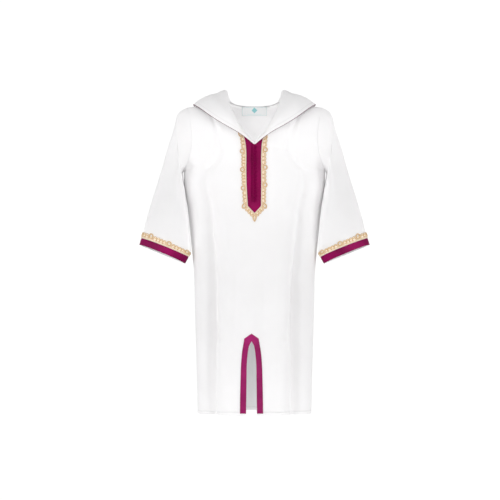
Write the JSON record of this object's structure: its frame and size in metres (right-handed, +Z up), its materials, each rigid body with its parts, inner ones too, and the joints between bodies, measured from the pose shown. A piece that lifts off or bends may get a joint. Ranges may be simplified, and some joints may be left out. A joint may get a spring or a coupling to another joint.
{
  "type": "hooded robe",
  "caption": "Long white hooded robe for a child, filled out with no wearer, with three-quarter sleeves, a front slit, satin and gold braid trims and a knotted chest closure.",
  "frame": {"origin": "between the neck ends of the two shoulder seams, where the wearer's shoulders hold the robe", "axes": "+Z up, -Y out of the chest, +X to the wearer's left"},
  "size_m": [0.5176, 0.2169, 0.7268],
  "materials": {
    "white_crepe": "fine matt crepe weave",
    "magenta_satin": "satin ribbon",
    "magenta_cord": "silky twisted cord",
    "gold_braid": "metallic thread braid",
    "white_label": "smooth woven label"
  },
  "bodies": {
    "root": {"back": "white_crepe", "chest_braid": "gold_braid", "chest_strip_left": "magenta_satin", "chest_strip_right": "magenta_satin", "cuff_braid_left": "gold_braid", "cuff_braid_right": "gold_braid", "cuff_ribbon_left": "magenta_satin", "cuff_ribbon_right": "magenta_satin", "front": "white_crepe", "hood_left": "white_crepe", "hood_piping": "magenta_cord", "hood_right": "white_crepe", "knot_01": "magenta_cord", "knot_02": "magenta_cord", "knot_03": "magenta_cord", "knot_04": "magenta_cord", "knot_05": "magenta_cord", "knot_06": "magenta_cord", "knot_07": "magenta_cord", "knot_08": "magenta_cord", "knot_09": "magenta_cord", "knot_10": "magenta_cord", "knot_11": "magenta_cord", "knot_12": "magenta_cord", "knot_13": "magenta_cord", "knot_14": "magenta_cord", "loop_01": "magenta_cord", "loop_02": "magenta_cord", "loop_03": "magenta_cord", "loop_04": "magenta_cord", "loop_05": "magenta_cord", "loop_06": "magenta_cord", "loop_07": "magenta_cord", "loop_08": "magenta_cord", "loop_09": "magenta_cord", "loop_10": "magenta_cord", "loop_11": "magenta_cord", "loop_12": "magenta_cord", "loop_13": "magenta_cord", "loop_14": "magenta_cord", "neck_label": "white_label", "sleeve_left": "white_crepe", "sleeve_right": "white_crepe", "slit_binding": "magenta_satin"}
  },
  "joints": []
}
